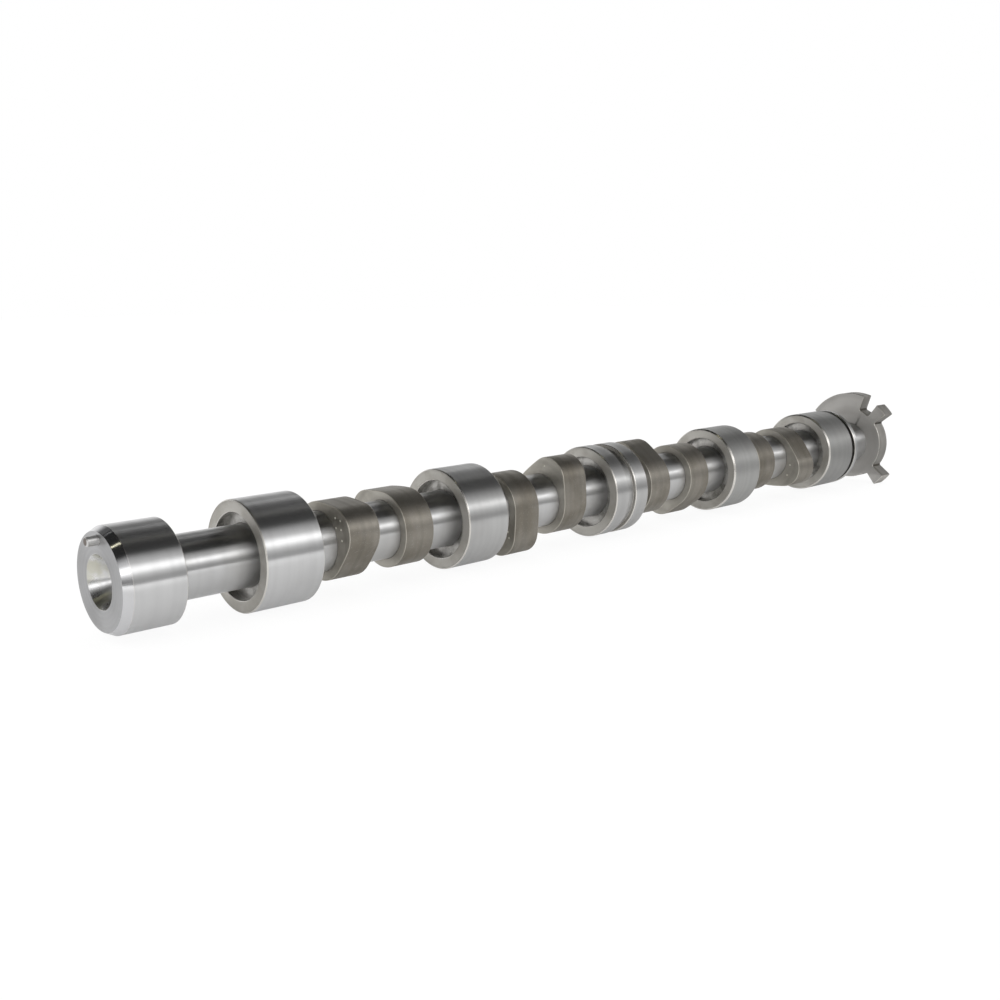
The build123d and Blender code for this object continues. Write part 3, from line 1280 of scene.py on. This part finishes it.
# ------------------------------------------------------------------ studio
@dataclass(frozen=True)
class Card:
    """A flat card or soft box that only the steel's reflections show.

    Its height runs along up, and each fade is the share of the card over which that side, as
    seen from the part, dies away.
    """

    name: str
    centre: tuple[float, float, float]
    facing: tuple[float, float, float]
    up: tuple[float, float, float]
    height: float
    width: float
    strength: float
    colour: tuple[float, float, float] = (1.0, 1.0, 1.0)
    fade_low: float = 0.0
    fade_high: float = 0.0
    fade_left: float = 0.0
    fade_right: float = 0.0

    def build(self) -> None:
        """Makes the card."""
        bm = bmesh.new()
        stretch = Matrix.Diagonal((self.width, self.height, 1.0, 1.0))
        bmesh.ops.create_grid(bm, x_segments=1, y_segments=1, size=0.5, matrix=stretch)
        mesh = new_mesh(self.name, bm)
        mesh.materials.append(self.material())
        card = new_object(self.name, mesh)
        facing, up = Vector(self.facing), Vector(self.up)
        axes = Matrix((up.cross(facing), up, facing)).transposed().to_4x4()
        card.matrix_world = Matrix.Translation(self.centre) @ axes
        card.visible_camera = card.visible_diffuse = card.visible_shadow = False
        card.visible_transmission = card.visible_volume_scatter = False

    def material(self) -> bpy.types.Material:
        """Makes the glow of the card, clear where a side has died away.

        Returns:
            The glow's material.
        """
        material, tree = new_material(self.name)
        place = tree.add("SeparateXYZ")
        tree.feed(place.inputs[0], tree.add("TexCoord").outputs["Object"])
        shown = 1.0
        sides = ((self.width, self.fade_left, self.fade_right),
                 (self.height, self.fade_low, self.fade_high))
        for socket, (length, first, last) in zip(place.outputs, sides):
            half = length / 2
            if first:
                edge = tree.remap(socket, -half, first * length - half)
                shown = tree.math("MULTIPLY", shown, edge)
            if last:
                edge = tree.remap(socket, half, half - last * length)
                shown = tree.math("MULTIPLY", shown, edge)
        clear = tree.add("BsdfTransparent")
        tree.finish_with_glow(shown, clear, opaque(self.colour), self.strength)
        return material


@dataclass(frozen=True)
class Studio:
    """Pale floor, soft white light, and the cards that shape the reflections."""

    camera_place: tuple[float, float, float] = (-0.1891, -0.4342, 0.1113)
    camera_forward: tuple[float, float, float] = (0.6678, 0.7225, -0.1789)
    camera_up: tuple[float, float, float] = (0.1328, 0.1208, 0.9837)
    camera_lens: float = 42.72
    sensor_width: float = 36.0
    sight: tuple[float, float] = (0.01, 50.0)
    floor_size: float = 12.0
    light_level: float = 1.0
    floor_colour: float = 0.92
    floor_glow: float = 1.04
    glow_seen: float = 0.88
    glow_mirrored: float = 0.28

    def build(self) -> None:
        """Sets up everything round the part."""
        bpy.context.scene.view_settings.view_transform = "Standard"
        self.build_world()
        self.build_floor()
        for card in CARDS:
            card.build()
        self.build_camera()

    def share_seen(self, tree: Tree, straight: float, mirrored: float) -> bpy.types.NodeSocket:
        """Weighs a thing by how it is seen.

        Args:
            tree: Tree of the thing's material.
            straight: Weight where the camera sees it straight.
            mirrored: Weight where it is seen by reflection or through glass.

        Returns:
            The weight, which is 0 for all other light.
        """
        rays = tree.add("LightPath")
        through = tree.math("MAXIMUM", rays.outputs["Is Glossy Ray"],
                            rays.outputs["Is Transmission Ray"])
        camera = tree.math("MULTIPLY", rays.outputs["Is Camera Ray"], straight)
        return tree.math("MAXIMUM", camera, tree.math("MULTIPLY", through, mirrored))

    def build_world(self) -> None:
        """Makes a white surround that lights the part evenly."""
        world = bpy.data.worlds.new("white_surround")
        bpy.context.scene.world = world
        world.use_nodes = True
        tree = Tree(world.node_tree)
        glow = tree.add("Background")
        tree.feed(glow.inputs["Strength"],
                  tree.remap(self.share_seen(tree, 1.0, 1.0), 0.0, 1.0, self.light_level, 1.0))
        glow.inputs["Color"].default_value = grey(1.0)
        tree.feed(tree.add("OutputWorld").inputs["Surface"], glow.outputs[0])

    def build_floor(self) -> None:
        """Lays the floor against the second journal and the wheel's lowest teeth."""
        journal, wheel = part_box("second_journal_ring"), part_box("sensor_wheel")
        near = Vector(((journal[0].x + journal[1].x) / 2, 0, journal[0].z))
        far = Vector(((wheel[0].x + wheel[1].x) / 2, 0, wheel[0].z))
        bm = bmesh.new()
        bmesh.ops.create_grid(bm, x_segments=1, y_segments=1, size=self.floor_size / 2)
        tilt = math.atan2(near.z - far.z, far.x - near.x)
        place = Matrix.Translation(near) @ Matrix.Rotation(tilt, 4, "Y")
        bmesh.ops.transform(bm, verts=bm.verts, matrix=place)
        material, tree = new_material("pale_floor")
        matt = tree.add("BsdfDiffuse")
        matt.inputs["Color"].default_value = grey(self.floor_colour)
        share = self.share_seen(tree, self.glow_seen, self.glow_mirrored)
        tree.finish_with_glow(share, matt, grey(1.0), self.floor_glow)
        mesh = new_mesh("floor", bm)
        mesh.materials.append(material)
        new_object("floor", mesh)

    def build_camera(self) -> None:
        """Sets the camera."""
        data = bpy.data.cameras.new("camera")
        data.lens, data.sensor_width = self.camera_lens, self.sensor_width
        data.clip_start, data.clip_end = self.sight
        forward = Vector(self.camera_forward).normalized()
        right = forward.cross(Vector(self.camera_up)).normalized()
        up = right.cross(forward)
        turn = Matrix((right, up, -forward)).transposed().to_4x4()
        camera = new_object("camera", data)
        camera.matrix_world = Matrix.Translation(self.camera_place) @ turn
        bpy.context.scene.camera = camera


TOWARDS_BACK, TOWARDS_FRONT = (0.0, 1.0, 0.0), (0.0, -1.0, 0.0)
TOWARDS_LEFT, TOWARDS_RIGHT = (-1.0, 0.0, 0.0), (1.0, 0.0, 0.0)
UPWARDS, DOWNWARDS = (0.0, 0.0, 1.0), (0.0, 0.0, -1.0)
CARDS = (
    Card("ceiling", (0.0, 0.3, 3.80), DOWNWARDS, TOWARDS_BACK, 5.4, 8.5, 0.025),
    Card("strip_by_the_back", (1.6, 2.45, 3.74), DOWNWARDS, TOWARDS_BACK, 0.12, 5.0, 0.7),
    Card("strip_overhead", (2.4, 0.37, 3.74), DOWNWARDS, TOWARDS_BACK, 0.05, 4.2, 0.5),
    Card("tube_on_the_left", (-1.37, -0.10, 3.70), DOWNWARDS, TOWARDS_BACK, 0.20, 0.6, 3.0,
         colour=(1.0, 0.96, 0.72)),
    Card("back_wall", (0.1, 3.0, 2.30), TOWARDS_FRONT, UPWARDS, 3.2, 6.4, 0.12,
         fade_low=0.60, fade_right=0.25),
    Card("dark_wall", (0.0, -2.40, 1.90), TOWARDS_BACK, UPWARDS, 3.9, 8.6, 0.05),
    Card("pale_wall", (1.0, -2.30, 0.55), TOWARDS_BACK, UPWARDS, 1.3, 7.0, 0.46,
         fade_high=0.5, fade_right=0.3),
    Card("soft_glow", (0.2, -2.25, 2.10), TOWARDS_BACK, UPWARDS, 4.0, 6.0, 0.92,
         fade_low=0.15, fade_high=0.60, fade_left=0.22, fade_right=0.20),
    Card("soft_box", (-0.1, -2.20, 1.15), TOWARDS_BACK, UPWARDS, 1.3, 6.0, 2.1,
         fade_low=0.38, fade_high=0.46, fade_left=0.20, fade_right=0.10),
    Card("far_window", (3.1, -2.18, 1.20), TOWARDS_BACK, UPWARDS, 0.5, 2.2, 2.6,
         fade_low=0.4, fade_high=0.4, fade_right=0.35),
    Card("right_wall", (4.25, -0.7, 1.90), TOWARDS_LEFT, UPWARDS, 3.9, 3.4, 0.25),
    Card("right_window", (4.20, -0.7, 1.30), TOWARDS_LEFT, UPWARDS, 2.8, 3.4, 0.58,
         fade_high=0.25),
    Card("left_wall", (-4.2, 0.3, 2.40), TOWARDS_RIGHT, UPWARDS, 2.9, 5.4, 0.12,
         fade_low=0.5),
    Card("table_edge", (1.0, -1.30, -0.020), UPWARDS, TOWARDS_BACK, 2.0, 7.0, 0.30),
    # A glowing sheet on the floor that only reflections show: a painted pool of light in front of
    # the part.
    Card("painted_floor_light", (-0.02, -0.18, -0.0203), UPWARDS, TOWARDS_BACK, 0.24, 0.52, 1.4,
         fade_high=0.45, fade_right=0.50),
    # A grey sheet on the floor that only reflections show: painted shade on the floor round the
    # rear end.
    Card("painted_floor_shade", (1.1, 0.0, -0.0205), UPWARDS, TOWARDS_BACK, 0.5, 1.3, 0.45,
         fade_left=0.10),
)


def main() -> None:
    """Builds the camshaft and its studio."""
    logging.basicConfig(level=logging.INFO, format="%(name)s: %(message)s")
    shaft = Shaft()
    bore = shaft.station.reach
    shaft.build()
    DriveEnd().build(bore)
    Dowel().build()
    JournalRing("second_journal_ring", bore).build()
    JournalRing("third_journal_ring", bore, track=DARKER_JOURNAL).build()
    GroovedRing("fourth_journal_ring", bore, track=DARKER_JOURNAL).build()
    JournalRing("fifth_journal_ring", bore, front_chamfer=BLUNT_CHAMFER,
                rear_chamfer=BLUNT_CHAMFER, track=SATIN_JOURNAL).build()
    RetainingRing("sixth_journal_ring", bore, front_chamfer=BLUNT_CHAMFER,
                  track=SATIN_JOURNAL).build()
    CamSet(bore).build()
    SensorWheel().build()
    Studio().build()


if __name__ == "__main__":
    main()
